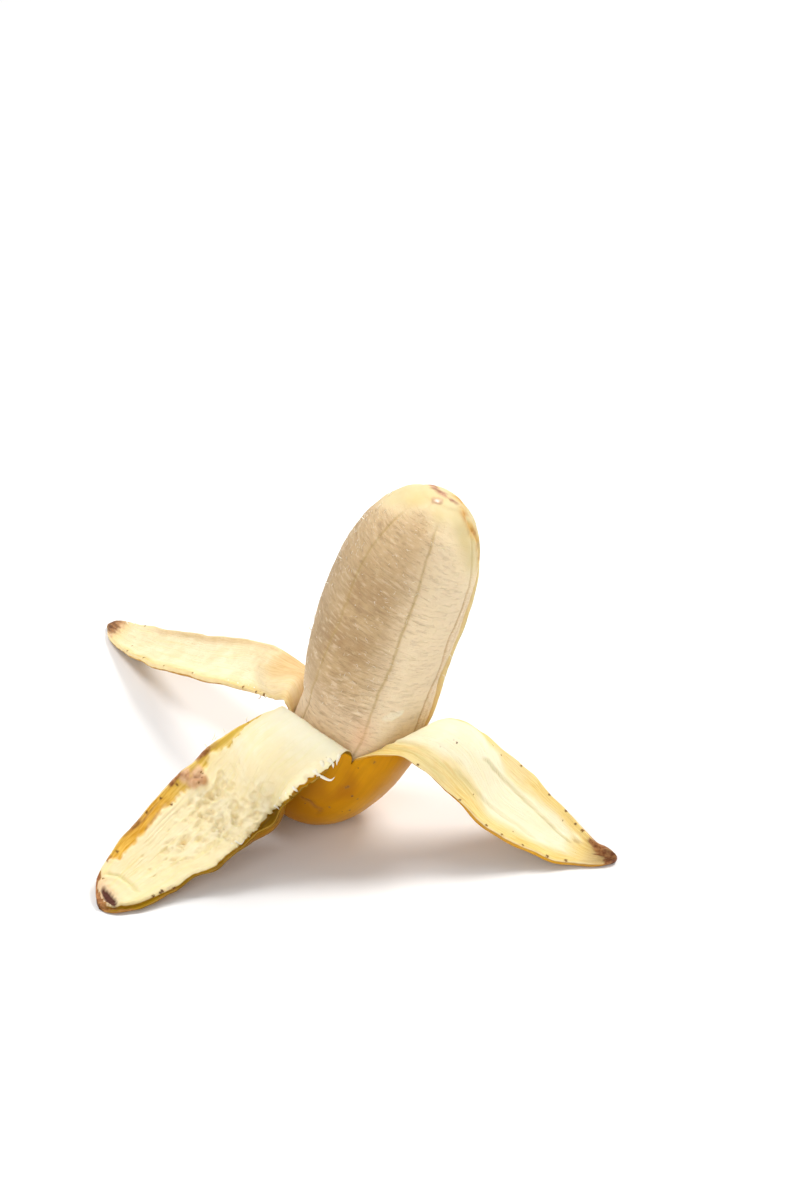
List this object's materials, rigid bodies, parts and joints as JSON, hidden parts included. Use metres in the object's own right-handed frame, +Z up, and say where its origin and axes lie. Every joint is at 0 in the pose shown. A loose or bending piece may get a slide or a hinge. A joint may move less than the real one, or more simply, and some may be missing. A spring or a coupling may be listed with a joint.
{
  "type": "half-peeled banana",
  "caption": "Half-peeled banana standing upright on its base, with the skin folded down in strips around the bare flesh.",
  "frame": {"origin": "centre of the bounding box's bottom face, on the table", "axes": "+Z up, -Y towards the viewer of the picture, +X to the viewer's right"},
  "size_m": [0.1461, 0.1451, 0.097],
  "materials": {
    "peel_skin": "waxy yellow skin outside, cream fibrous pith inside",
    "pulp": "matte cream flesh, slightly fibrous"
  },
  "bodies": {
    "root": {"peel": "peel_skin", "flesh": "pulp"}
  },
  "joints": []
}
